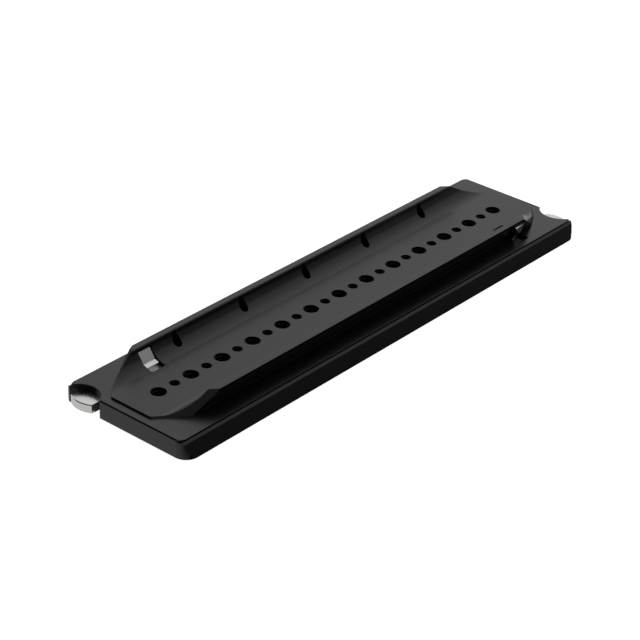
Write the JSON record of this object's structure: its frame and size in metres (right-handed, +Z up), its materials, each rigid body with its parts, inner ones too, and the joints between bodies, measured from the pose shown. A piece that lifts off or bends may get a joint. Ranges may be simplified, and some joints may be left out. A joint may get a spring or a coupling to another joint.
{
  "type": "camera dovetail plate",
  "caption": "Long low plate with a raised dovetail and a shallow trough, rows of threaded holes along it, and a sprung safety stop with a thumb button at each end.",
  "frame": {"origin": "centre of the underside, on the plate's middle line", "axes": "+X along the plate's length, +Y across it, +Z up out of the trough"},
  "size_m": [0.3118, 0.08, 0.019],
  "materials": {
    "black_anodised": "black anodised, satin",
    "cover_black": "black anodised, satin",
    "bare_aluminium": "bare, finely brushed",
    "steel": "ground",
    "screw_black": "black oxide"
  },
  "bodies": {
    "plate": {"dovetail_plate": "black_anodised", "left_return_spring": "steel", "left_spring_guide_pin": "steel", "left_cover_plate": "cover_black", "left_cover_screw_1": "screw_black", "left_cover_screw_2": "screw_black", "left_cover_screw_3": "screw_black", "left_cover_screw_4": "screw_black", "right_return_spring": "steel", "right_spring_guide_pin": "steel", "right_cover_plate": "cover_black", "right_cover_screw_1": "screw_black", "right_cover_screw_2": "screw_black", "right_cover_screw_3": "screw_black", "right_cover_screw_4": "screw_black"},
    "left_button": {"left_push_button": "bare_aluminium"},
    "left_stop": {"left_stop_block": "bare_aluminium", "left_cam_pin": "steel"},
    "right_button": {"right_push_button": "bare_aluminium"},
    "right_stop": {"right_stop_block": "bare_aluminium", "right_cam_pin": "steel"}
  },
  "joints": [
    {"name": "left_button_press", "type": "slide", "parent": "plate", "child": "left_button", "axis": [1, 0, 0], "range_m": [0, 0.0033], "stiffness_N_per_m": 600, "springref_m": -0.003, "deforming": ["left_return_spring"]},
    {"name": "left_stop_retract", "type": "slide", "parent": "plate", "child": "left_stop", "axis": [0, -1, 0], "range_m": [0, 0.0033]},
    {"name": "right_button_press", "type": "slide", "parent": "plate", "child": "right_button", "axis": [-1, 0, 0], "range_m": [0, 0.0033], "stiffness_N_per_m": 600, "springref_m": -0.003, "deforming": ["right_return_spring"]},
    {"name": "right_stop_retract", "type": "slide", "parent": "plate", "child": "right_stop", "axis": [0, 1, 0], "range_m": [0, 0.0033]}
  ],
  "couplings": [
    {"joint": "left_stop_retract", "follows": "left_button_press", "ratio": 1},
    {"joint": "right_stop_retract", "follows": "right_button_press", "ratio": 1}
  ]
}
